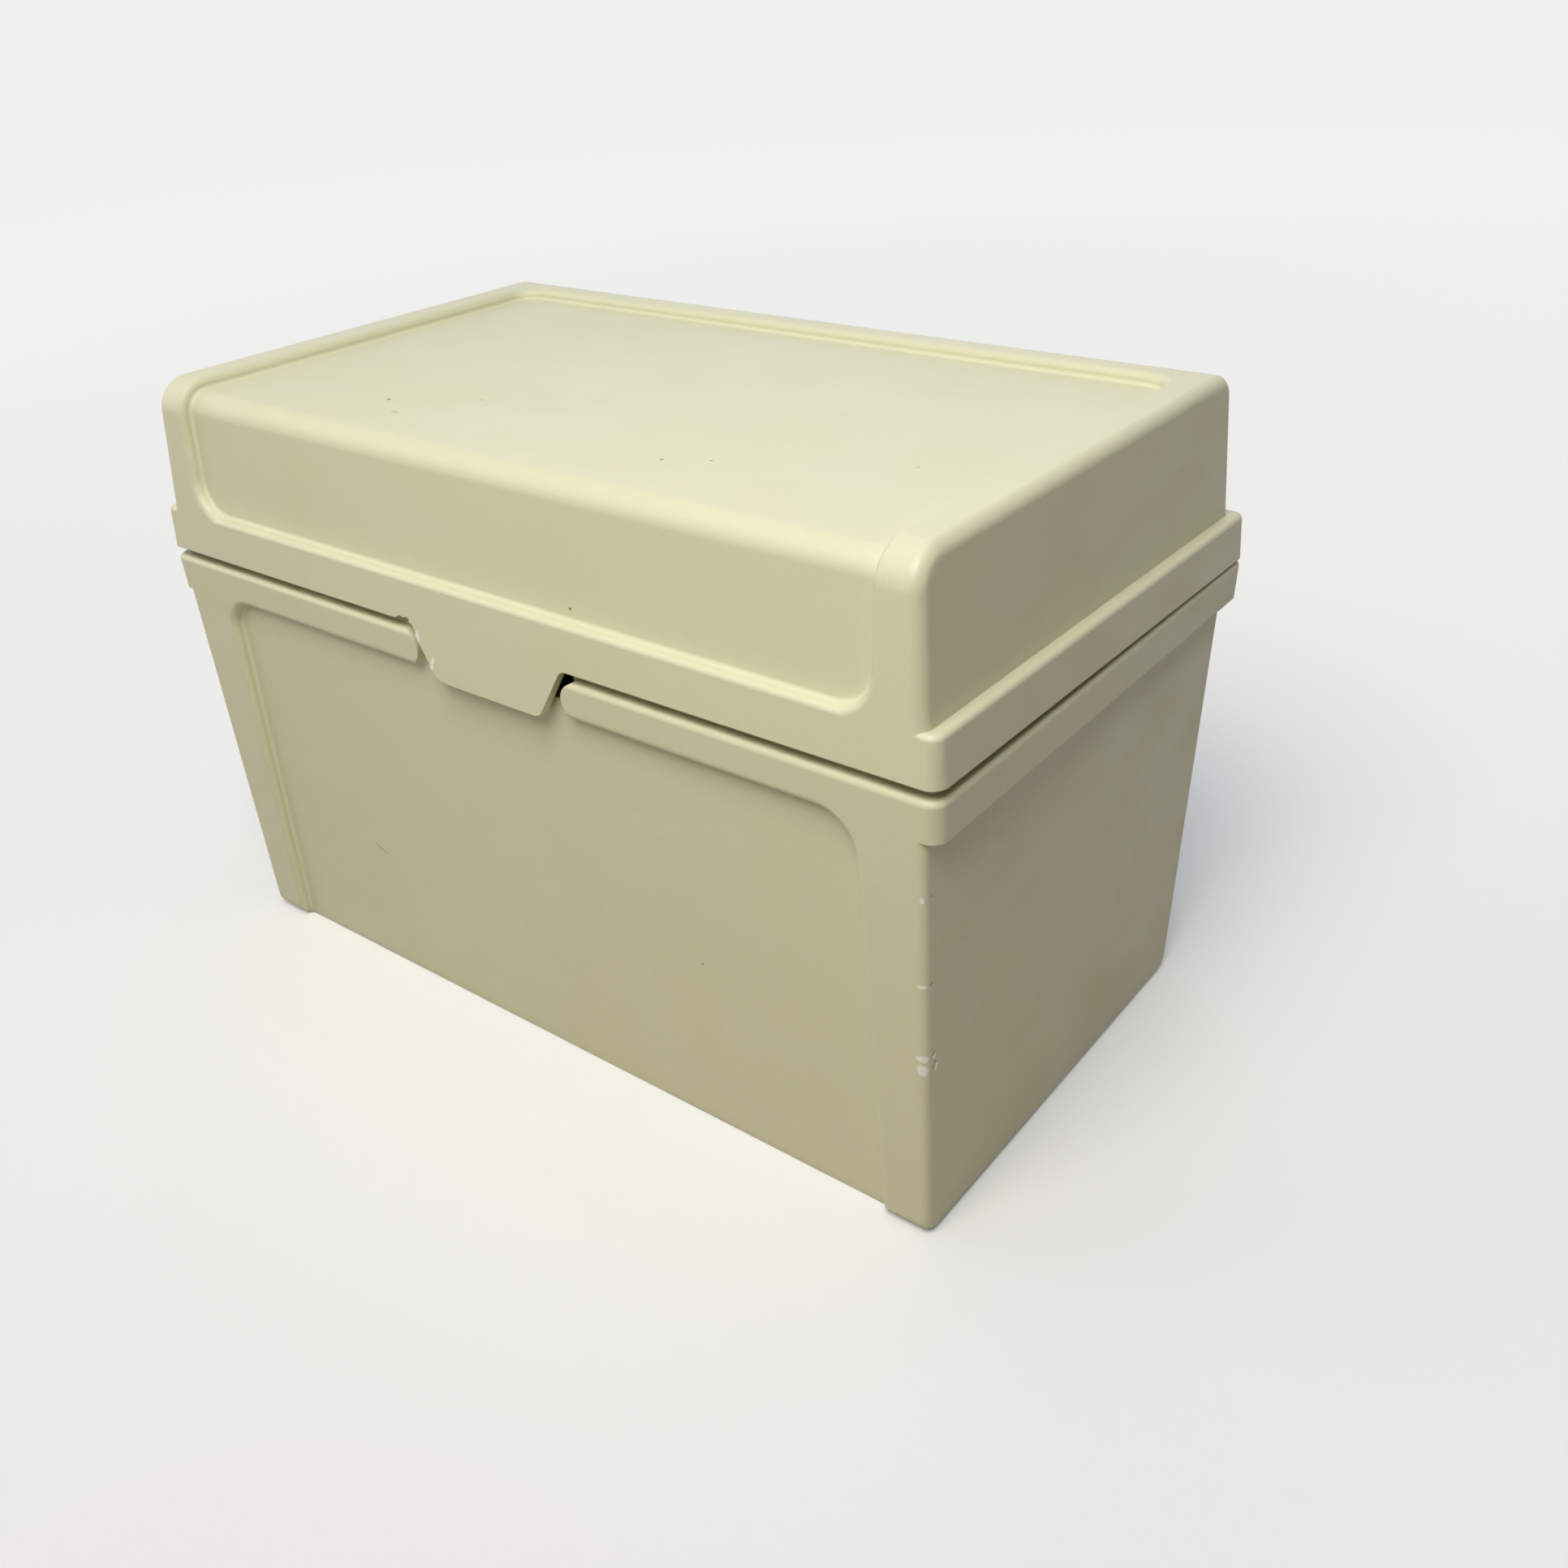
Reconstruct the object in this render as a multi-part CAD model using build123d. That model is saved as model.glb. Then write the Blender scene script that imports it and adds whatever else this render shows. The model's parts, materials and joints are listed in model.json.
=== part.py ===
from build123d import *
from math import asin, degrees, radians, sqrt, tan
import os

# Hinged-lid file box for index cards: a moulded tub, a moulded flip-top lid and two steel hinge pins.
# Millimetres and degrees. Origin on the underside, midway along and across the rim. +X is the right
# end, the front faces -Y, and +Z is up.

# ---------------------------------------------------------------- driving dimensions

# Whole box
rim_width = 142.0            # over the rim bands, left to right
rim_depth = 81.0             # front face to the back of the rim bands
ledge_height = 67.2          # underside to the ledge that the lid closes on
lid_height = 26.0            # lid's lower edge to its top face
wall = 2.0                   # walls of the tub and the lid
floor_thickness = 2.2
step = 1.76                  # how far bands and pillars stand proud of walls and sunken panels
panel_edge_radius = 1.1      # round the edge of each sunken panel
panel_foot_radius = 0.6      # where a panel's edge meets its flat
inner_corner_radius = 1.0    # of the lid's hollow, at its fold and its rear corner

# Mould drafts
tub_front_draft = 0.75
tub_end_draft = 0.25
tub_rear_slope = 7.0         # the tub's back leans in towards its foot
lid_front_draft = 3.5
lid_end_draft = 4.0
lid_rear_draft = 0.7

# Tub
tub_front_foot_radius = 2.5
tub_rear_foot_radius = 3.0
tub_edge_radius = 1.1        # upright corners and the foot of each end
tub_inner_radius = 2.0       # round the floor of the cavity
tub_band_height = 5.5
tub_band_edge_radius = 0.9   # along the ledge
rim_corner_radius = 2.1      # bands seen from above
tub_pillar_top = 11.8        # end of the rim to the sunken front panel, below the band
tub_pillar_foot = 8.9        # and at the foot, where the panel runs out
tub_panel_corner_radius = 5.5

# Lid
lid_fold_radius = 5.0        # front face into the top
lid_rear_radius = 3.0        # top into the back
lid_edge_radius = 1.8        # round each end
lid_band_height = 6.4
lid_band_edge_radius = 0.75
lid_panel_side_border = 9.4  # end of the rim to the sunken panel that wraps over the fold
lid_panel_rear_border = 5.8  # top of the back to the panel
lid_panel_front_radius = 5.4
lid_panel_rear_radius = 4.0

# Closing joint: the tub's tongue stands in a socket inside the lid's band
parting_gap = 0.3            # lid's edge over the ledge, when it is snapped shut
tongue_height = 4.0
tongue_corner_radius = 0.6   # of the tongue seen from above
tongue_edge_radius = 0.5
socket_clearance = 0.26
socket_headroom = 0.8

# Latch: a tab on the lid hangs through a notch in the tub's band and snaps over a bead
tab_length = 7.65            # below the lid's edge
tab_thickness = 1.4
tab_half_top = 14.5
tab_half_foot = 10.0
tab_corner_radius = 1.8
tab_root_radius = 1.6
notch_half_width = 13.9      # between the rounded ends of the band
sill_drop = 3.9              # ledge to the sill of the gap behind the tab
sill_half_width = 15.0
sill_corner_radius = 1.0
catch_drop = 5.6             # ledge to the tub's catch bead
catch_half_length = 7.0
catch_bite = 0.16            # how far the two beads have to spring past each other
catch_rest_clearance = 0.06

# Hinges: two, behind the rear bands
hinge_inset = 29.0           # end of the rim to the middle of each hinge
hinge_clearance = 0.3        # between knuckles, and from a barrel to the bands
pin_radius = 0.8
pin_running_clearance = 0.05 # in the lid's knuckles
pin_press = 0.01             # in the tub's knuckles
pin_inset = 0.4              # each end of a pin inside its knuckle
pin_chamfer = 0.15
knuckle_wall = 1.4
lid_knuckle_length = 10.0
tub_knuckle_length = 6.0
web_margin = 0.6             # webs stop this far inside a band's edges
stop_length = 4.2            # below the pin, in the open position
stop_thickness = 1.5
open_angle = 105.0           # opened from the rest position
open_gap = 0.05              # stop to rim, fully open

# ---------------------------------------------------------------- values that follow

margin = 5.0                 # how far cutting solids run past what they cut
tolerance = 0.01             # for edges picked by their height
web_root = wall / 2          # how far the hinges' webs reach into a band
sill_height = ledge_height - sill_drop
catch_height = ledge_height - catch_drop
tub_band_foot = ledge_height - tub_band_height
tub_band_middle = ledge_height - tub_band_height / 2
tongue_top = ledge_height + tongue_height
tub_panel_half_top = rim_width / 2 - tub_pillar_top
tub_panel_half_foot = rim_width / 2 - tub_pillar_foot

lid_low = ledge_height + parting_gap
lid_top = lid_low + lid_height
lid_band_top = lid_low + lid_band_height
lid_panel_half_width = rim_width / 2 - lid_panel_side_border
socket_top = tongue_top + socket_headroom

knuckle_radius = pin_radius + knuckle_wall
barrel_diagonal = knuckle_radius * sqrt(0.5)
hinge_x = rim_width / 2 - hinge_inset
hinge_y = rim_depth / 2 + hinge_clearance + knuckle_radius
hinge_z = ledge_height + parting_gap / 2
hinge_axis = Axis((0, hinge_y, hinge_z), (-1, 0, 0))
tub_knuckle_offset = (lid_knuckle_length + tub_knuckle_length) / 2 + hinge_clearance
hinge_length = lid_knuckle_length + 2 * (hinge_clearance + tub_knuckle_length)


def rise(height, angle):
    """Sideways run of a face that leans by angle over a height."""
    return height * tan(radians(angle))


def tub_front(z, inset=0.0):
    """Y of the tub's front face at a height, or of a face inset behind it."""
    return -rim_depth / 2 + rise(ledge_height - z, tub_front_draft) + inset


def tub_rear(z, inset=0.0):
    """Y of the tub's back at a height."""
    return rim_depth / 2 - step - rise(ledge_height - z, tub_rear_slope) - inset


def tub_end(z, inset=0.0):
    """X of the tub's right end wall at a height."""
    return rim_width / 2 - step - rise(ledge_height - z, tub_end_draft) - inset


def lid_front(z, inset=0.0):
    """Y of the lid's front face at a height."""
    return -rim_depth / 2 + rise(z - lid_low, lid_front_draft) + inset


def lid_rear(z, inset=0.0):
    """Y of the lid's back at a height."""
    return rim_depth / 2 - step - rise(z - lid_low, lid_rear_draft) - inset


def lid_end(z, inset=0.0):
    """X of the lid's right end wall at a height."""
    return rim_width / 2 - step - rise(z - lid_low, lid_end_draft) - inset


# The two beads of the catch face each other across the space between the tab and the sunken panel.
# Snapped, the lid's bead sits under the tub's. At rest the lid is up by the angle that puts its bead
# on top, which is how such a lid lies until it is pressed home.
catch_space = tub_front(catch_height, step) - lid_front(catch_height, tab_thickness)
bead_radius = (catch_space + catch_bite) / 2
bead_drop = sqrt((catch_space + catch_bite) ** 2 - catch_space**2)
lid_bead_height = catch_height - bead_drop
rest_lift = 2 * bead_drop + catch_rest_clearance
lid_rest_angle = degrees(asin(rest_lift / (hinge_y - lid_front(catch_height, tab_thickness))))


# ---------------------------------------------------------------- shared forms


def outline(*corners):
    """Face inside a closed outline, given as (across, up, corner radius)."""
    points = [(across, up) for across, up, _ in corners]
    radii = [radius for _, _, radius in corners]
    return make_face(FilletPolyline(*points, radius=radii, close=True))


def symmetric_outline(*corners):
    """Outline that mirrors the corners of its right half, which run from bottom to top."""
    left = [(-across, up, radius) for across, up, radius in reversed(corners)]
    return outline(*corners, *left)


def along_x(face, half_length=rim_width):
    """Solid from a side outline (Y, Z), as long each way as half_length."""
    return extrude(Plane.YZ * face, half_length, both=True)


def along_y(face, half_length=rim_depth):
    """Solid from a front outline (X, Z)."""
    return extrude(Plane.XZ * face, half_length, both=True)


def end_edges(solid, level):
    """Edges round both ends of a solid, apart from the straight ones that lie at a level."""
    faces = solid.faces().sort_by(Axis.X)
    edges = faces[0].edges() + faces[-1].edges()
    return edges.filter_by(lambda edge: abs(edge.center().Z - level) > tolerance)


def level_edges(solid, level):
    """Edges that lie at a level."""
    return solid.edges().filter_by(
        lambda edge: all(abs(point.Z - level) < tolerance for point in (edge @ 0, edge @ 0.5, edge @ 1))
    )


def rim_plate(low, height, corner_radius, inset, taper):
    """Solid plate in plan within the rim by an inset, tapering from low over a signed height."""
    width = rim_width - 2 * inset
    depth = rim_depth - 2 * inset
    plan = Plane.XY.offset(low) * RectangleRounded(width, depth, corner_radius)
    return extrude(plan, height, taper=taper)


def sink(solid, window, core):
    """Solid with a window sunk into it as far as a core, rounded along its edge and at its foot."""
    sunken = window - core
    foot = new_edges(window, core, combined=sunken).filter_by_position(Axis.Z, 0, rim_width)
    sunken = fillet(foot, panel_foot_radius)
    framed = solid - sunken
    edge = new_edges(solid, sunken, combined=framed).filter_by_position(Axis.Z, 0, rim_width)
    return fillet(edge, panel_edge_radius)


def knuckles(web, bore_radius, length, offsets):
    """Barrels round the pins on webs of one side outline (Y, Z), offset along each hinge."""
    axis = Pos(hinge_y, hinge_z)
    face = web + axis * Circle(knuckle_radius) - axis * Circle(bore_radius)
    middles = [side * hinge_x + offset for side in (-1, 1) for offset in offsets]
    return [Pos(middle, 0, 0) * along_x(face, length / 2) for middle in middles]


def bead(y, z):
    """Bar half sunk in a face, for the catch."""
    return Pos(0, y, z) * Rot(0, 90, 0) * Cylinder(bead_radius, 2 * catch_half_length)


# ---------------------------------------------------------------- tub


def tub_body(inset, low, high, front_radius, rear_radius):
    """Solid with the tub's drafted sides, inset all round."""
    side = outline(
        (tub_front(high, inset), high, 0),
        (tub_front(low, inset), low, front_radius),
        (tub_rear(low, inset), low, rear_radius),
        (tub_rear(high, inset), high, 0),
    )
    front = symmetric_outline((tub_end(low, inset), low, 0), (tub_end(high, inset), high, 0))
    return along_x(side) & along_y(front)


def behind_tub_front(depth, low, high):
    """Everything behind a plane at a depth behind the tub's front face."""
    return along_x(
        outline(
            (tub_front(low, depth), low, 0),
            (2 * rim_depth, low, 0),
            (2 * rim_depth, high, 0),
            (tub_front(high, depth), high, 0),
        )
    )


def tub_window(grow=0.0):
    """Outline of the sunken front panel, cut right through: an arch that is open at the foot."""
    return along_y(
        symmetric_outline(
            (tub_panel_half_foot + grow, -2 * margin, 0),
            (tub_panel_half_top + grow, tub_band_foot + grow, tub_panel_corner_radius + grow),
        )
    )


def tub_face():
    """Block with the tub's whole front face on it, and the sunken panel in that."""
    high = tongue_top + margin
    block = behind_tub_front(0, -margin, high)
    return sink(block, tub_window(), behind_tub_front(step, -3 * margin, high))


def tub_band():
    """Band round the rim, leaning as the walls do: flush with the front and proud of the rest."""
    plate = tub_body(-step, tub_band_foot, ledge_height, 0, 0) & behind_tub_front(0, 0, 2 * ledge_height)
    corners = plate.edges().filter_by(lambda edge: abs(edge.center().Z - tub_band_middle) < tolerance)
    plate = fillet(corners, rim_corner_radius)
    return fillet(level_edges(plate, ledge_height), tub_band_edge_radius)


def tab_notch():
    """Gap in the front of the band for the tab, between round ends."""
    end_radius = tub_band_height / 2
    reach = notch_half_width + end_radius
    notch = Pos(0, tub_band_middle) * Rectangle(2 * reach, tub_band_height + 2 * margin)
    for side in (-1, 1):
        notch -= Pos(side * reach, tub_band_middle) * Circle(end_radius)
    return along_y(notch) - behind_tub_front(step, 0, 2 * ledge_height)


def tub_cavity():
    """Space inside the tub: it follows the pillars and sunken panel, and narrows under the rim."""
    high = tongue_top + margin
    space = tub_body(wall, floor_thickness, high, tub_inner_radius, tub_inner_radius)
    above_pillars = along_y(Pos(0, tub_band_foot - wall + high / 2) * Rectangle(2 * rim_width, high))
    closed = tub_window(wall) + above_pillars
    return space - (closed - behind_tub_front(step + wall, -3 * margin, 2 * high))


def sill_gap():
    """Cut through the front wall and tongue behind the tab."""
    gap = symmetric_outline(
        (sill_half_width, sill_height, sill_corner_radius),
        (sill_half_width, tongue_top + margin, 0),
    )
    return extrude(Plane.XZ.offset(rim_depth / 2 - step) * gap, -wall - margin)


def tub():
    """Tub with its band, tongue, latch parts and outer knuckles."""
    body = tub_body(0, 0, tub_band_middle, tub_front_foot_radius, tub_rear_foot_radius)
    body = fillet(end_edges(body, tub_band_middle), tub_edge_radius)
    tongue = rim_plate(ledge_height, tongue_height, tongue_corner_radius, step, lid_front_draft)
    tongue = fillet(level_edges(tongue, tongue_top), tongue_edge_radius)
    body = (body + tub_band() + tongue) & tub_face()
    body = body - tab_notch() - tub_cavity() - sill_gap()
    body += bead(tub_front(catch_height, step), catch_height)
    high = ledge_height - web_margin
    low = tub_band_foot + web_margin
    web = outline(
        (hinge_y, hinge_z, 0),
        (tub_rear(high, web_root - step), high, 0),
        (tub_rear(low, web_root - step), low, 0),
        (hinge_y + barrel_diagonal, hinge_z - barrel_diagonal, 0),
    )
    offsets = (-tub_knuckle_offset, tub_knuckle_offset)
    for knuckle in knuckles(web, pin_radius - pin_press, tub_knuckle_length, offsets):
        body += knuckle
    return body


# ---------------------------------------------------------------- lid


def lid_side(inset, low):
    """Side outline of the lid inset all round, with its fold and its rear corner."""
    high = lid_top - inset
    return outline(
        (lid_front(high, inset), high, max(lid_fold_radius - inset, inner_corner_radius)),
        (lid_front(low, inset), low, 0),
        (lid_rear(low, inset), low, 0),
        (lid_rear(high, inset), high, max(lid_rear_radius - inset, inner_corner_radius)),
    )


def lid_body(inset, low):
    """Solid with the lid's drafted sides, inset all round."""
    high = lid_top - inset
    front = symmetric_outline((lid_end(low, inset), low, 0), (lid_end(high, inset), high, 0))
    return along_x(lid_side(inset, low)) & along_y(front)


def lid_window(grow=0.0):
    """Outline of the panel that starts above the band, wraps over the fold and crosses the top."""
    half_width = lid_panel_half_width + grow
    front = symmetric_outline(
        (half_width, lid_band_top - grow, lid_panel_front_radius + grow),
        (half_width, lid_top + 2 * margin, 0),
    )
    top = symmetric_outline(
        (half_width, -rim_depth, 0),
        (half_width, lid_rear(lid_top) - lid_panel_rear_border + grow, lid_panel_rear_radius + grow),
    )
    return along_y(front) & extrude(top, 2 * lid_top)


def lid_core(depth):
    """Everything deeper than the sunken panel's flat, or than the wall behind it."""
    return along_x(lid_side(depth, lid_low - 2 * margin))


def lid_band():
    """Band round the lid's lower edge."""
    plate = rim_plate(lid_low, lid_band_height, rim_corner_radius, 0, lid_front_draft)
    return fillet(level_edges(plate, lid_band_top), lid_band_edge_radius)


def socket():
    """Space inside the band that the tub's tongue stands in."""
    inset = step - socket_clearance
    corner_radius = tongue_corner_radius + socket_clearance
    return rim_plate(lid_low, socket_top - lid_low, corner_radius, inset, lid_front_draft)


def tab():
    """Tab in line with the lid's front face, with a catch bead inside it."""
    foot = lid_low - tab_length
    root = lid_low + web_margin
    face = symmetric_outline(
        (tab_half_foot, foot, tab_corner_radius),
        (tab_half_top, lid_low, tab_root_radius),
        (tab_half_top + 2 * tab_root_radius, lid_low, 0),
        (tab_half_top + 2 * tab_root_radius, root, 0),
    )
    plate = outline(
        (lid_front(foot), foot, 0),
        (lid_front(foot, tab_thickness), foot, 0),
        (lid_front(root, tab_thickness), root, 0),
        (lid_front(root), root, 0),
    )
    catch = bead(lid_front(lid_bead_height, tab_thickness), lid_bead_height)
    return (along_y(face) & along_x(plate)) + catch


def stop():
    """Side outline of the heel that meets the tub's band when the lid is open, turned back to closed."""
    low = hinge_z - stop_length
    high = hinge_z - knuckle_radius / 2
    open_heel = outline(
        (hinge_y, hinge_z, 0),
        (tub_rear(high, -step - open_gap), high, 0),
        (tub_rear(low, -step - open_gap), low, 0),
        (tub_rear(low, -step - open_gap - stop_thickness), low, 0),
        (hinge_y + barrel_diagonal, hinge_z - barrel_diagonal, 0),
    )
    turn = Rot(0, 0, open_angle + lid_rest_angle)
    return Pos(hinge_y, hinge_z) * turn * Pos(-hinge_y, -hinge_z) * open_heel


def lid():
    """Lid with its band, tab and middle knuckles, turned up onto the catch."""
    body = lid_body(0, lid_low)
    body = fillet(end_edges(body, lid_low), lid_edge_radius)
    body = sink(body, lid_window(), lid_core(step))
    hollow = lid_body(wall, lid_low - margin)
    hollow -= lid_window(wall) - lid_core(step + wall)
    body = body + lid_band() - hollow - socket() + tab()
    web = outline(
        (hinge_y, hinge_z, 0),
        (rim_depth / 2 - web_root, lid_low + web_margin, 0),
        (rim_depth / 2 - web_root, lid_band_top - web_margin, 0),
        (hinge_y + barrel_diagonal, hinge_z + barrel_diagonal, 0),
    )
    for knuckle in knuckles(web + stop(), pin_radius + pin_running_clearance, lid_knuckle_length, (0,)):
        body += knuckle
    return body.rotate(hinge_axis, lid_rest_angle)


# ---------------------------------------------------------------- hinge pins


def hinge_pin(side):
    """Steel pin along a hinge, from inside one outer knuckle to inside the other."""
    pin = Cylinder(pin_radius, hinge_length - 2 * pin_inset)
    pin = chamfer(pin.edges(), pin_chamfer)
    return Pos(side * hinge_x, hinge_y, hinge_z) * Rot(0, 90, 0) * pin


# ---------------------------------------------------------------- files

nodes = {
    "base": tub(),
    "lid": lid(),
    "hinge_pin_left": hinge_pin(-1),
    "hinge_pin_right": hinge_pin(1),
}
os.makedirs("parts", exist_ok=True)
for name, part in nodes.items():
    export_step(part, f"parts/{name}.step")
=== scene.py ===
"""Looks of the flip-top index card file box: aged cream plastic, its wear, and plain studio light.

The named values are in millimetres and degrees, and turn into metres where they reach Blender.
"""

import json
import math
import random

import bmesh
import bpy
from mathutils import Matrix, Vector

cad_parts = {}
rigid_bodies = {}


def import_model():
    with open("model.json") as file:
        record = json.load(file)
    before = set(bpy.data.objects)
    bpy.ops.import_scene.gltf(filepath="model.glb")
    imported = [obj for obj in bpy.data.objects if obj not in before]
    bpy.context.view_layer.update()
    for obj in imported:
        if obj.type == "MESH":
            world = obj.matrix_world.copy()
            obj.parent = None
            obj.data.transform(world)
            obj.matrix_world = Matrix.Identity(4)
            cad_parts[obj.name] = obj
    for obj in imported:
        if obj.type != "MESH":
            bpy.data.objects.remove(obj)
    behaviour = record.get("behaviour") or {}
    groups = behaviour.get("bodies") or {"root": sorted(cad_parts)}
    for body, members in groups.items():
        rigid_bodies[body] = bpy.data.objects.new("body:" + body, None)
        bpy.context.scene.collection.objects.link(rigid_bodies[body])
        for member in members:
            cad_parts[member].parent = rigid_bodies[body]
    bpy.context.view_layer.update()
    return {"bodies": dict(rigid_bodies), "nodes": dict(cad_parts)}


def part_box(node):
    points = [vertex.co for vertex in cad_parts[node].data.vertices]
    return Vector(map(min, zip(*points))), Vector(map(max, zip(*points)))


MM = 0.001

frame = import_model()
scene = bpy.context.scene

# ---------------------------------------------------------------- driving values

# Camera, as the photograph was taken
CAMERA_PLACE = (145.4, -157.7, 152.7)
CAMERA_AZIMUTH = 39.15       # the view is turned this far from +Y towards -X
CAMERA_PITCH = 30.57         # below level
CAMERA_ROLL = -3.40
FOCAL_SHARE = 0.9682         # focal length as a share of the picture's width
SENSOR_WIDTH = 36.0

# Light: azimuth runs from the front (-Y) towards the right end (+X), and power is in watts
LIGHT_CENTRE = (45, 0, 50)
KEY = {
    "azimuth": 12, "elevation": 56, "distance": 400, "size": 250,
    "power": 1.2, "colour": (1.0, 0.94, 0.84),
}
TOP = {
    "azimuth": 0, "elevation": 89, "distance": 700, "size": 600,
    "power": 0.9, "colour": (0.95, 1.0, 1.25),
}
BACK = {
    "azimuth": 215, "elevation": 30, "distance": 800, "size": 600,
    "power": 0.33, "colour": (0.97, 1.0, 1.06),
}
FILL = {
    "azimuth": -65, "elevation": 22, "distance": 700, "size": 500,
    "power": 0.7, "colour": (1.0, 0.98, 0.96),
}
LAMPS = {"key": KEY, "top": TOP, "back": BACK, "fill": FILL}
SKY_LEVEL = 0.10             # what the world adds to diffuse surfaces
PALE = (0.87, 0.87, 0.86)    # background, as seen and as mirrored
FLOOR_BOUNCE = (0.46, 0.385, 0.315)
FLOOR_SIZE = 6000

# Plastic
CREAM = (0.72, 0.725, 0.515)
YELLOWED = (0.70, 0.67, 0.42)
PALE_CREAM = (0.82, 0.81, 0.64)
# Grime brown that the painted shade in corners and creases darkens towards
GRIME_AND_SHADE = (0.34, 0.29, 0.19)
SPECK = (0.10, 0.08, 0.06)
STRESS_WHITE = (0.97, 0.965, 0.93)
BROKEN_CREAM = (0.80, 0.79, 0.66)
PLASTIC_ROUGHNESS = (0.38, 0.48)
BREAK_ROUGHNESS = 0.7
EDGE_SOFTNESS = 0.2          # radius that sharp edges are shaded with
SHADE_AND_GRIME_REACH = 2.5            # how near two faces have to be for painted shade and grime between them

# Unevenness of the plastic: the size of its features, and its share in the colour or its depth
AGE_SIZE = 55
AGE_SHARE = 0.28
CLOUD_SIZE = 9
CLOUD_SHARE = 0.10
GRAIN_SIZE = 0.6
GRAIN_SHARE = 0.12
# Patches of the painted shade and grime in the corners: their size and how strongly they darken
SHADE_AND_GRIME_SIZE = 4
SHADE_AND_GRIME_SHARE = (0.25, 0.6)
SMEAR_SIZE = 14
WAVE_SIZE = 30
WAVE_DEPTH = 0.12
TEXTURE_SIZE = 0.5
TEXTURE_DEPTH = 0.03

# Steel
BRIGHT_STEEL = (0.60, 0.60, 0.61)
DULL_STEEL = (0.50, 0.49, 0.48)
STEEL_ROUGHNESS = (0.24, 0.42)

# Broken left side of the lid's tab, from the lid's edge down to the tab's foot, as (X, Z)
TAB_BREAK = [
    (-17.5, 68.6), (-16.3, 69.2), (-15.7, 69.0), (-15.0, 69.3), (-14.35, 69.0), (-14.6, 68.55),
    (-14.0, 68.4), (-13.6, 67.9), (-13.3, 67.3), (-13.6, 67.0), (-13.4, 65.9), (-12.6, 65.6),
    (-11.8, 64.1), (-11.1, 63.2), (-11.2, 62.5), (-10.4, 62.0), (-10.0, 61.3), (-9.2, 61.15),
    (-8.2, 61.1), (-7.0, 60.9),
]
TAB_BREAK_OUTSIDE = [(-7.0, 58.0), (-20.0, 58.0), (-20.0, 68.0)]
TAB_BREAK_DEPTH = (-43, -37)   # from in front of the tab to behind it, as Y

# Chips in the tub's upright front edges, as (side, height, length along the edge, bite)
EDGE_CHIPS = [
    (1, 53.9, 1.0, 0.25), (1, 41.5, 0.7, 0.5), (1, 30.4, 1.1, 0.8), (1, 28.6, 1.9, 0.75),
    (-1, 59.2, 0.7, 0.25), (-1, 58.1, 0.6, 0.35), (-1, 57.2, 0.5, 0.3), (-1, 55.8, 0.7, 0.25),
    (-1, 53.9, 0.9, 0.2), (-1, 51.6, 0.8, 0.25),
]

CHIP_SEED = 7
CHIP_WANDER = 0.6            # how far a chip may sit beside the edge's middle
CHIP_REACH = 1.5             # out of the plastic and to each side, as a share of the bite
CHIP_UNEVENNESS = 0.15       # of each corner's distance
CHIP_SKEW = 0.2              # of each corner's height, as a share of the length
CHIP_RAY_START = 20          # outside the edge
CHIP_MARK_INSET = (2.35, 0.3)        # from the tub's box to the marks' centres, across and in depth
CHIP_MARK_SPREAD = (1.4, 1.2, 0.55)  # half size, as shares of the bite, the bite and the length

# Cut meshes: what is one point, and what is a sharp edge
WELD_REACH = 0.001
SHARP_ANGLE = 30

# Marks on the surface, as (centre, half size along X, Y and Z, turn about Y, strength)
LID_SPECKS = [
    ((-31.9, -23.8, 92.7), (0.32, 0.32, 0.6), 0, 0.9),
    ((-19.5, -17.3, 92.7), (0.2, 0.2, 0.6), 0, 0.8),
    ((20.7, -24.6, 92.7), (0.22, 0.3, 0.6), 0, 0.8),
    ((26.4, -21.9, 92.7), (0.26, 0.2, 0.6), 0, 0.7),
    ((49.7, -11.4, 92.7), (0.25, 0.3, 0.6), 0, 0.35),
    ((-49.0, 24.6, 92.7), (0.3, 0.3, 0.6), 0, 0.5),
    ((-26.0, -27.6, 92.7), (1.0, 0.4, 0.6), 0, 0.25),
    ((15.4, -38.1, 76.6), (0.22, 0.6, 0.22), 0, 0.9),
]
TUB_SPECKS = [
    ((-36.2, -38.2, 22.7), (1.8, 0.8, 0.16), 25, 0.35),
    ((32.2, -38.2, 28.4), (0.25, 0.8, 0.2), 0, 0.6),
]
LID_WHITE_MARKS = [
    ((-13.2, -40.6, 66.6), (0.6, 1.5, 1.15), 8, 1.0),
    ((-10.8, -40.9, 63.0), (0.4, 1.5, 2.0), 25, 1.0),
]


# ---------------------------------------------------------------- camera, light and floor


def make_camera():
    data = bpy.data.cameras.new("camera")
    data.sensor_width = SENSOR_WIDTH
    data.lens = SENSOR_WIDTH * FOCAL_SHARE
    data.clip_start = 0.01
    camera = bpy.data.objects.new("camera", data)
    turn = Matrix.Rotation(math.radians(CAMERA_AZIMUTH), 4, "Z")
    tilt = Matrix.Rotation(math.radians(90 - CAMERA_PITCH), 4, "X")
    roll = Matrix.Rotation(math.radians(CAMERA_ROLL), 4, "Z")
    camera.matrix_world = Matrix.Translation(Vector(CAMERA_PLACE) * MM) @ turn @ tilt @ roll
    scene.collection.objects.link(camera)
    scene.camera = camera


def way_to(lamp):
    """Direction from the light centre to a lamp."""
    around, up = math.radians(lamp["azimuth"]), math.radians(lamp["elevation"])
    return Vector((math.sin(around) * math.cos(up), -math.cos(around) * math.cos(up), math.sin(up)))


def place_of(lamp):
    """Where a lamp hangs, in metres."""
    return (Vector(LIGHT_CENTRE) + lamp["distance"] * way_to(lamp)) * MM


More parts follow.
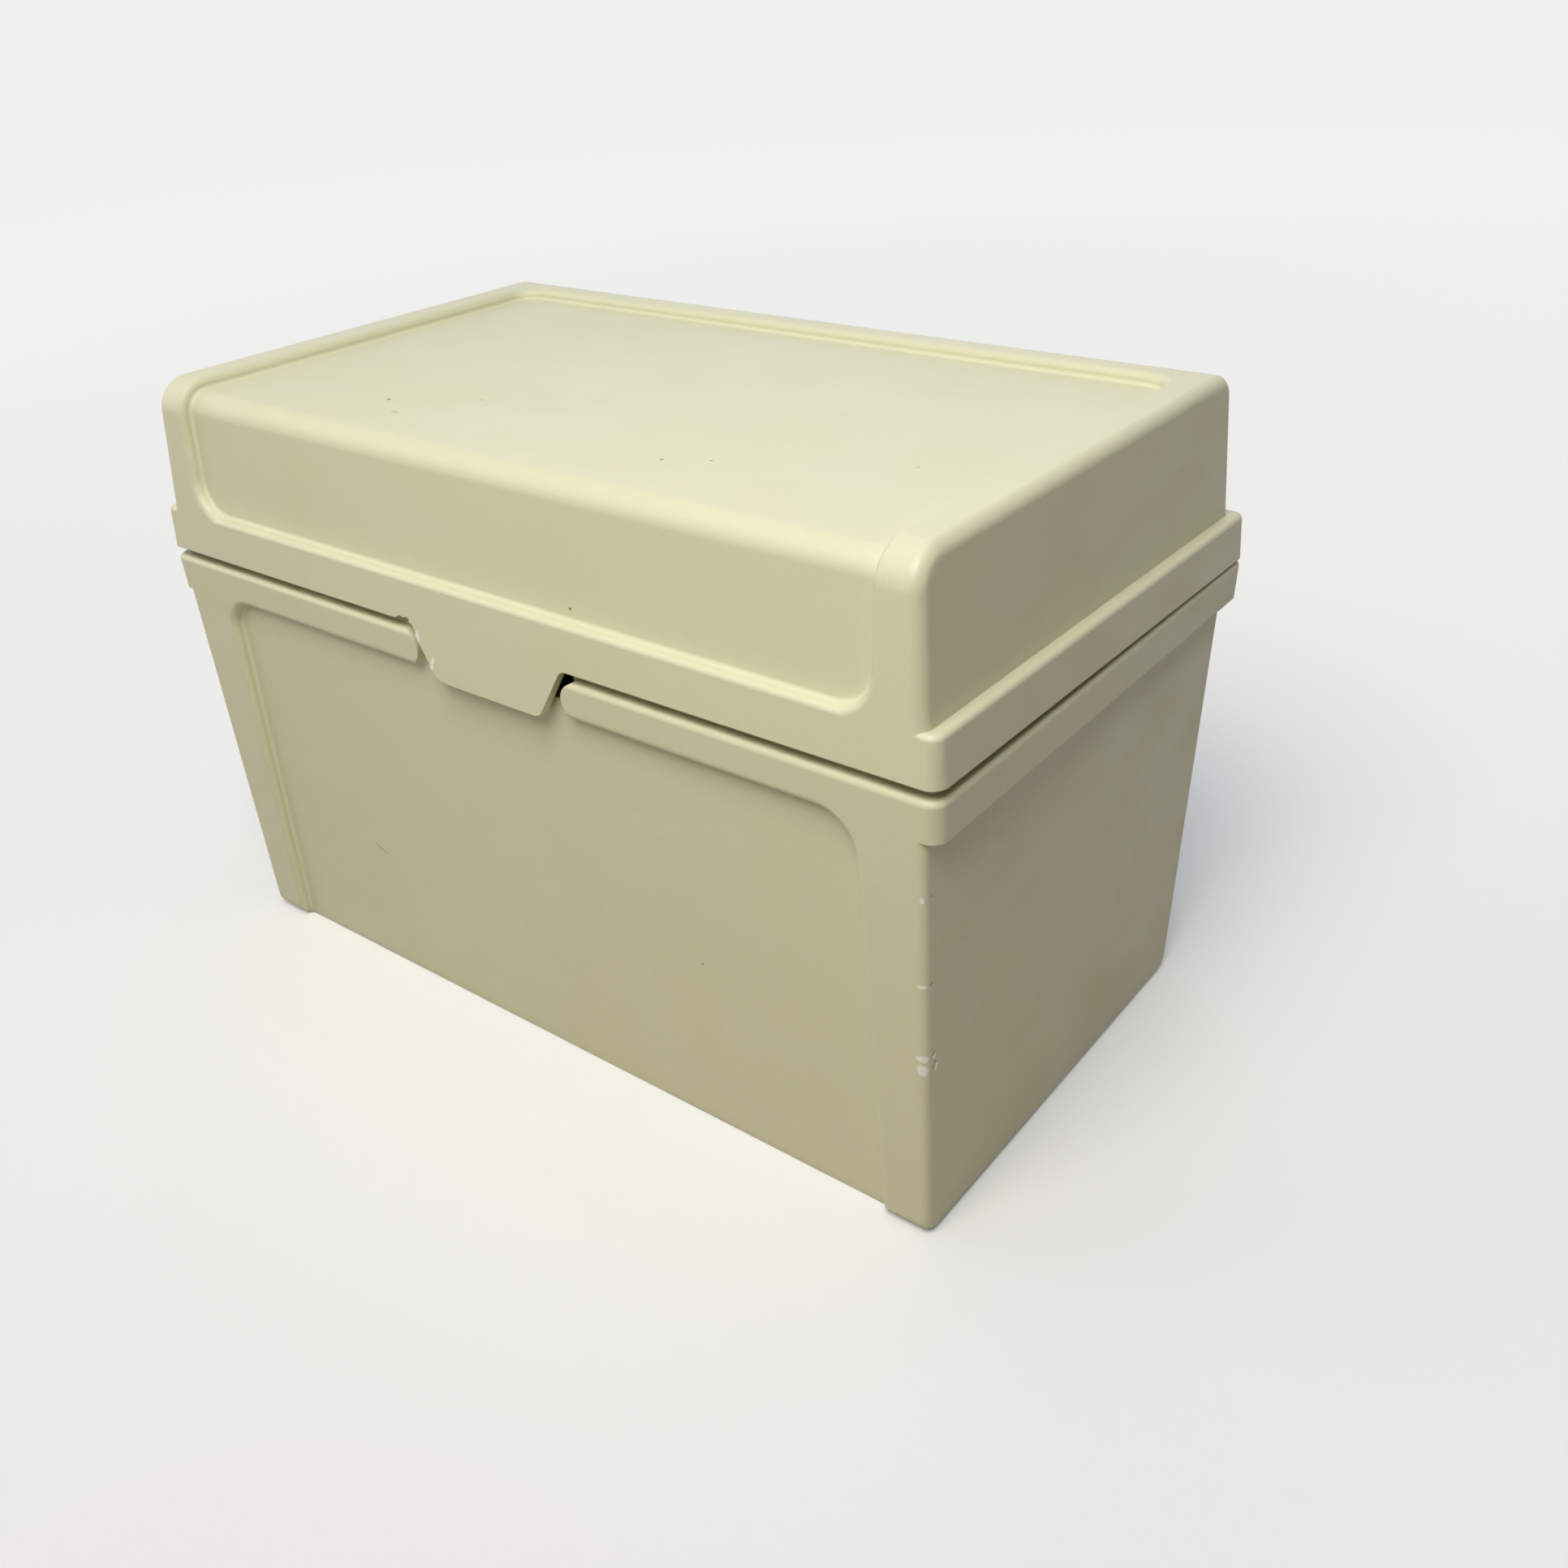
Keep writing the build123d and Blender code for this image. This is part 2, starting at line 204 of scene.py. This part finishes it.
def softbox(name, lamp):
    """Round area light that faces the light centre."""
    data = bpy.data.lights.new(name, "AREA")
    data.shape = "DISK"
    data.size = lamp["size"] * MM
    data.energy = lamp["power"]
    data.color = lamp["colour"]
    light = bpy.data.objects.new(name, data)
    light.location = place_of(lamp)
    light.rotation_euler = way_to(lamp).to_track_quat("Z", "Y").to_euler()
    scene.collection.objects.link(light)


def make_world():
    """Pale all round as seen or mirrored, and a weak sky for diffuse surfaces."""
    world = bpy.data.worlds.new("studio")
    world.use_nodes = True
    nodes, link = world.node_tree.nodes, world.node_tree.links.new
    background = nodes["Background"]
    background.inputs["Color"].default_value = (*PALE, 1)
    path = nodes.new("ShaderNodeLightPath")
    seen = nodes.new("ShaderNodeMath")
    seen.operation = "MAXIMUM"
    level = nodes.new("ShaderNodeMapRange")
    level.inputs["To Min"].default_value = SKY_LEVEL
    level.inputs["To Max"].default_value = 1.0
    link(path.outputs["Is Camera Ray"], seen.inputs[0])
    link(path.outputs["Is Glossy Ray"], seen.inputs[1])
    link(seen.outputs["Value"], level.inputs["Value"])
    link(level.outputs["Result"], background.inputs["Strength"])
    scene.world = world
    scene.view_settings.view_transform = "Standard"


def make_floor():
    """Plain pale floor. As seen or mirrored it glows by what the lamps' falloff takes away, so it is even
    and keeps only the object's shadow. What it throws back on the object is a dimmer, warmer light."""
    bpy.ops.mesh.primitive_plane_add(size=FLOOR_SIZE * MM)
    floor = bpy.context.object
    floor.name = "floor"
    look = Look("floor")
    look.shader.inputs["Roughness"].default_value = 1.0
    look.shader.inputs["Specular IOR Level"].default_value = 0.0
    path = look.node("ShaderNodeLightPath")
    seen = look.math("MAXIMUM", path.outputs["Is Camera Ray"], path.outputs["Is Glossy Ray"])
    look.link(look.mix(seen, FLOOR_BOUNCE, PALE), look.shader.inputs["Base Color"])
    light = tuple(SKY_LEVEL * channel for channel in PALE)
    for lamp in LAMPS.values():
        light = look.vector("ADD", look.vector("MULTIPLY", look.lamp_light(lamp), lamp["colour"]), light)
    missing = look.vector("MAXIMUM", look.vector("SUBTRACT", (1, 1, 1), light), (0, 0, 0))
    look.link(look.vector("MULTIPLY", missing, PALE), look.shader.inputs["Emission Color"])
    look.link(seen, look.shader.inputs["Emission Strength"])
    floor.data.materials.append(look.material)


# ---------------------------------------------------------------- materials


class Look:
    """A material's node tree, with short calls for the nodes that the looks share."""

    def __init__(self, name):
        self.material = bpy.data.materials.new(name)
        self.material.use_nodes = True
        self.tree = self.material.node_tree
        self.shader = self.tree.nodes["Principled BSDF"]
        self.coords = self.node("ShaderNodeTexCoord").outputs["Object"]

    def node(self, kind, **settings):
        made = self.tree.nodes.new(kind)
        for name, value in settings.items():
            setattr(made, name, value)
        return made

    def link(self, source, target):
        self.tree.links.new(source, target)

    def noise(self, size, detail=2.0, stretch=(1, 1, 1)):
        """Noise from 0 to 1 whose features are about as big as size."""
        place = self.node("ShaderNodeMapping")
        place.inputs["Scale"].default_value = stretch
        self.link(self.coords, place.inputs["Vector"])
        noise = self.node("ShaderNodeTexNoise")
        noise.inputs["Scale"].default_value = 1 / (size * MM)
        noise.inputs["Detail"].default_value = detail
        self.link(place.outputs["Vector"], noise.inputs["Vector"])
        return noise.outputs["Fac"]

    def ramp(self, value, low, high, to_low=0.0, to_high=1.0):
        """Value taken smoothly from one range to another, and held at its ends."""
        made = self.node("ShaderNodeMapRange", interpolation_type="SMOOTHSTEP")
        made.inputs["From Min"].default_value = low
        made.inputs["From Max"].default_value = high
        made.inputs["To Min"].default_value = to_low
        made.inputs["To Max"].default_value = to_high
        self.link(value, made.inputs["Value"])
        return made.outputs["Result"]

    def feed(self, socket, value):
        """Link another node's socket, or set a plain value."""
        if isinstance(value, bpy.types.NodeSocket):
            self.link(value, socket)
        else:
            socket.default_value = value

    def math(self, operation, first, second):
        made = self.node("ShaderNodeMath", operation=operation)
        self.feed(made.inputs[0], first)
        self.feed(made.inputs[1], second)
        return made.outputs["Value"]

    def vector(self, operation, first, second):
        made = self.node("ShaderNodeVectorMath", operation=operation)
        self.feed(made.inputs[0], first)
        self.feed(made.inputs[1], second)
        return made.outputs["Vector"]

    def mix(self, factor, first, second):
        """Colour between two, each a socket or a plain colour."""
        made = self.node("ShaderNodeMix", data_type="RGBA")
        self.link(factor, made.inputs["Factor"])
        for name, value in (("A", first), ("B", second)):
            self.feed(made.inputs[name], (*value, 1) if isinstance(value, tuple) else value)
        return made.outputs["Result"]

    def marks(self, places, raggedness=0.35):
        """Mask of the marks on the surface, with ragged edges."""
        wander = self.noise(0.35, 3)
        mask = None
        for centre, half_size, turn, strength in places:
            local = self.node("ShaderNodeMapping", vector_type="TEXTURE")
            local.inputs["Location"].default_value = Vector(centre) * MM
            local.inputs["Rotation"].default_value = (0, math.radians(turn), 0)
            local.inputs["Scale"].default_value = Vector(half_size) * MM
            self.link(self.coords, local.inputs["Vector"])
            away = self.node("ShaderNodeVectorMath", operation="LENGTH")
            self.link(local.outputs["Vector"], away.inputs[0])
            ragged = self.math("ADD", away.outputs["Value"], self.math("MULTIPLY", wander, raggedness * 2))
            spot = self.ramp(ragged, 0.75 + raggedness, 1.05 + raggedness, strength, 0.0)
            mask = spot if mask is None else self.math("MAXIMUM", mask, spot)
        return mask

    def lamp_light(self, lamp):
        """What a lamp adds to a white surface that faces up, where nothing shades it."""
        towards = self.node("ShaderNodeVectorMath", operation="SUBTRACT")
        towards.inputs[0].default_value = place_of(lamp)
        self.link(self.coords, towards.inputs[1])
        away = self.node("ShaderNodeVectorMath", operation="LENGTH")
        self.link(towards.outputs["Vector"], away.inputs[0])
        facing = self.node("ShaderNodeVectorMath", operation="DOT_PRODUCT")
        facing.inputs[1].default_value = way_to(lamp)
        self.link(towards.outputs["Vector"], facing.inputs[0])
        height = self.node("ShaderNodeSeparateXYZ")
        self.link(towards.outputs["Vector"], height.inputs["Vector"])
        both = self.math("MULTIPLY", facing.outputs["Value"], height.outputs["Z"])
        share = self.math("DIVIDE", both, self.math("POWER", away.outputs["Value"], 4))
        return self.math("MULTIPLY", self.math("MAXIMUM", share, 0.0), lamp["power"] / math.pi ** 2)

    def bump(self, height, depth, strength=1.0, normal=None):
        """Normal over a height from 0 to 1 that is this deep."""
        made = self.node("ShaderNodeBump")
        made.inputs["Strength"].default_value = strength
        made.inputs["Distance"].default_value = depth * MM
        self.link(height, made.inputs["Height"])
        if normal is not None:
            self.link(normal, made.inputs["Normal"])
        return made.outputs["Normal"]

    def soft_edges(self, radius):
        """Normal rounded off over sharp edges."""
        made = self.node("ShaderNodeBevel", samples=4)
        made.inputs["Radius"].default_value = radius * MM
        return made.outputs["Normal"]

    def crevices(self, reach):
        """Mask from 0 in the open to 1 deep in a corner."""
        made = self.node("ShaderNodeAmbientOcclusion", samples=6)
        made.inputs["Distance"].default_value = reach * MM
        return self.ramp(made.outputs["AO"], 0.75, 0.25)


def cream_plastic(name, specks, white_marks=()):
    """Moulded plastic gone cream with age: mottled, darkened in its corners by painted shade and grime,
    satin with faint smears.
    """
    look = Look(name)
    age = look.ramp(look.noise(AGE_SIZE, 3), 0.35, 0.7)
    cloud = look.ramp(look.noise(CLOUD_SIZE, 4), 0.3, 0.7)
    grain = look.ramp(look.noise(GRAIN_SIZE, 3), 0.3, 0.7)
    colour = look.mix(look.math("MULTIPLY", age, AGE_SHARE), CREAM, YELLOWED)
    colour = look.mix(look.math("MULTIPLY", cloud, CLOUD_SHARE), colour, YELLOWED)
    colour = look.mix(look.math("MULTIPLY", grain, GRAIN_SHARE), colour, PALE_CREAM)
    # Painted shade: ambient occlusion darkens corners and creases towards a grime brown, in patches
    patches = look.ramp(look.noise(SHADE_AND_GRIME_SIZE, 4), 0.25, 0.75, *SHADE_AND_GRIME_SHARE)
    shade_and_grime = look.math("MULTIPLY", look.crevices(SHADE_AND_GRIME_REACH), patches)
    colour = look.mix(shade_and_grime, colour, GRIME_AND_SHADE)
    colour = look.mix(look.marks(specks), colour, SPECK)
    if white_marks:
        colour = look.mix(look.marks(white_marks, 0.5), colour, STRESS_WHITE)
    look.link(colour, look.shader.inputs["Base Color"])
    smears = look.noise(SMEAR_SIZE, 4, (1, 1, 2.5))
    look.link(look.ramp(smears, 0.3, 0.7, *PLASTIC_ROUGHNESS), look.shader.inputs["Roughness"])
    normal = look.soft_edges(EDGE_SOFTNESS)
    normal = look.bump(look.noise(WAVE_SIZE, 1), WAVE_DEPTH, 0.6, normal)
    normal = look.bump(look.noise(TEXTURE_SIZE, 2), TEXTURE_DEPTH, 0.6, normal)
    look.link(normal, look.shader.inputs["Normal"])
    return look.material


def broken_plastic():
    """Fresh break: paler than the skin, whitened where it was torn, and rough."""
    look = Look("broken_plastic")
    torn = look.ramp(look.noise(0.5, 4), 0.4, 0.6)
    look.link(look.mix(torn, BROKEN_CREAM, STRESS_WHITE), look.shader.inputs["Base Color"])
    look.shader.inputs["Roughness"].default_value = BREAK_ROUGHNESS
    look.link(look.bump(look.noise(0.25, 3), 0.08), look.shader.inputs["Normal"])
    return look.material


def drawn_steel():
    """Bright wire, drawn along the hinge."""
    look = Look("drawn_steel")
    lines = look.noise(0.5, 3, (0.03, 1, 1))
    blotches = look.ramp(look.noise(2, 3), 0.35, 0.7)
    look.link(look.mix(blotches, BRIGHT_STEEL, DULL_STEEL), look.shader.inputs["Base Color"])
    look.shader.inputs["Metallic"].default_value = 1.0
    look.link(look.ramp(lines, 0.3, 0.7, *STEEL_ROUGHNESS), look.shader.inputs["Roughness"])
    look.link(look.bump(lines, 0.01, 0.5), look.shader.inputs["Normal"])
    return look.material


def dress(node, *materials):
    """Materials on a CAD node, in place of its own."""
    mesh = frame["nodes"][node].data
    mesh.materials.clear()
    for material in materials:
        mesh.materials.append(material)


# ---------------------------------------------------------------- wear cut into the plastic


def cutter(name, shape):
    """Hidden solid from a bmesh, for cutting. Its faces take the second material of what they cut."""
    mesh = bpy.data.meshes.new(name)
    bmesh.ops.recalc_face_normals(shape, faces=shape.faces)
    for face in shape.faces:
        face.material_index = 1
    shape.to_mesh(mesh)
    shape.free()
    solid = bpy.data.objects.new(name, mesh)
    scene.collection.objects.link(solid)
    solid.hide_render = True
    return solid


def tab_break():
    """Prism through the tab and the lid's edge, on the broken side."""
    shape = bmesh.new()
    outline = TAB_BREAK + TAB_BREAK_OUTSIDE
    rings = [[shape.verts.new(Vector((x, y, z)) * MM) for x, z in outline] for y in TAB_BREAK_DEPTH]
    shape.faces.new(rings[0])
    shape.faces.new(list(reversed(rings[1])))
    for i in range(len(outline)):
        j = (i + 1) % len(outline)
        shape.faces.new((rings[0][j], rings[0][i], rings[1][i], rings[1][j]))
    return cutter("tab_break", shape)


def chip_marks():
    """White marks in front of the chips of the tub's right edge, where the plastic was stressed."""
    low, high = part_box("base")
    across, depth = CHIP_MARK_INSET
    x = high.x / MM - across
    y = low.y / MM + depth
    marks = []
    for side, height, length, bite in EDGE_CHIPS:
        if side > 0:
            half_size = [share * size for share, size in zip(CHIP_MARK_SPREAD, (bite, bite, length))]
            marks.append(((x, y, height), half_size, 0, 1.0))
    return marks


def edge_chips():
    """One irregular eight-sided shard for each chip, set on the tub's upright front edges."""
    dice = random.Random(CHIP_SEED)
    tub = frame["nodes"]["base"]
    low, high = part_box("base")
    shape = bmesh.new()
    for side, height, length, bite in EDGE_CHIPS:
        out = Vector((side, -1, 0)).normalized()
        along = Vector((side, 1, 0)).normalized()
        far = Vector((side * high.x, low.y, height * MM)) + out * CHIP_RAY_START * MM
        far += along * CHIP_WANDER * MM * dice.uniform(-1, 1)
        found, place, _, _ = tub.ray_cast(far, -out)
        if not found:
            continue
        reach = bite * MM * CHIP_REACH
        ways = [-out * bite * MM, out * reach, along * reach, -along * reach]
        ends = [Vector((0, 0, 1)) * length * MM / 2, Vector((0, 0, -1)) * length * MM / 2]
        corner = []
        for way in ways:
            share = dice.uniform(1 - CHIP_UNEVENNESS, 1 + CHIP_UNEVENNESS)
            rise = Vector((0, 0, length * MM * dice.uniform(-CHIP_SKEW, CHIP_SKEW)))
            corner.append(shape.verts.new(place + way * share + rise))
        tip = [shape.verts.new(place + end) for end in ends]
        ring = [corner[0], corner[2], corner[1], corner[3]]
        for i in range(4):
            j = (i + 1) % 4
            shape.faces.new((ring[i], ring[j], tip[0]))
            shape.faces.new((ring[j], ring[i], tip[1]))
    return cutter("edge_chips", shape)


def sharpen_group():
    """Geometry nodes that smooth every face and keep the sharp edges."""
    group = bpy.data.node_groups.new("sharpen", "GeometryNodeTree")
    group.interface.new_socket("Geometry", in_out="INPUT", socket_type="NodeSocketGeometry")
    group.interface.new_socket("Geometry", in_out="OUTPUT", socket_type="NodeSocketGeometry")
    nodes, link = group.nodes, group.links.new
    start, end = nodes.new("NodeGroupInput"), nodes.new("NodeGroupOutput")
    plain = nodes.new("GeometryNodeRemoveAttribute")
    plain.inputs["Name"].default_value = "custom_normal"
    faces = nodes.new("GeometryNodeSetShadeSmooth")
    edges = nodes.new("GeometryNodeSetShadeSmooth")
    edges.domain = "EDGE"
    edges.inputs["Shade Smooth"].default_value = False
    angle = nodes.new("GeometryNodeInputMeshEdgeAngle")
    sharp = nodes.new("ShaderNodeMath")
    sharp.operation = "GREATER_THAN"
    sharp.inputs[1].default_value = math.radians(SHARP_ANGLE)
    link(start.outputs[0], plain.inputs["Geometry"])
    link(plain.outputs["Geometry"], faces.inputs["Geometry"])
    link(faces.outputs["Geometry"], edges.inputs["Geometry"])
    link(angle.outputs["Unsigned Angle"], sharp.inputs[0])
    link(sharp.outputs["Value"], edges.inputs["Selection"])
    link(edges.outputs["Geometry"], end.inputs[0])
    return group


def cut(node, tool, sharpen):
    """Node with the tool cut out of it, shaded anew as its own faces were."""
    piece = frame["nodes"][node]
    piece.modifiers.new("weld", "WELD").merge_threshold = WELD_REACH * MM
    boolean = piece.modifiers.new("cut", "BOOLEAN")
    boolean.operation = "DIFFERENCE"
    boolean.solver = "EXACT"
    boolean.object = tool
    shading = piece.modifiers.new("sharpen", "NODES")
    shading.node_group = sharpen
    weighted = piece.modifiers.new("normals", "WEIGHTED_NORMAL")
    weighted.keep_sharp = True
    tool.parent = frame["bodies"][node]


make_camera()
for lamp_name, lamp in LAMPS.items():
    softbox(lamp_name, lamp)
make_world()
make_floor()
broken = broken_plastic()
dress("base", cream_plastic("tub_plastic", TUB_SPECKS, chip_marks()), broken)
dress("lid", cream_plastic("lid_plastic", LID_SPECKS, LID_WHITE_MARKS), broken)
steel = drawn_steel()
dress("hinge_pin_left", steel)
dress("hinge_pin_right", steel)
sharpening = sharpen_group()
cut("lid", tab_break(), sharpening)
cut("base", edge_chips(), sharpening)
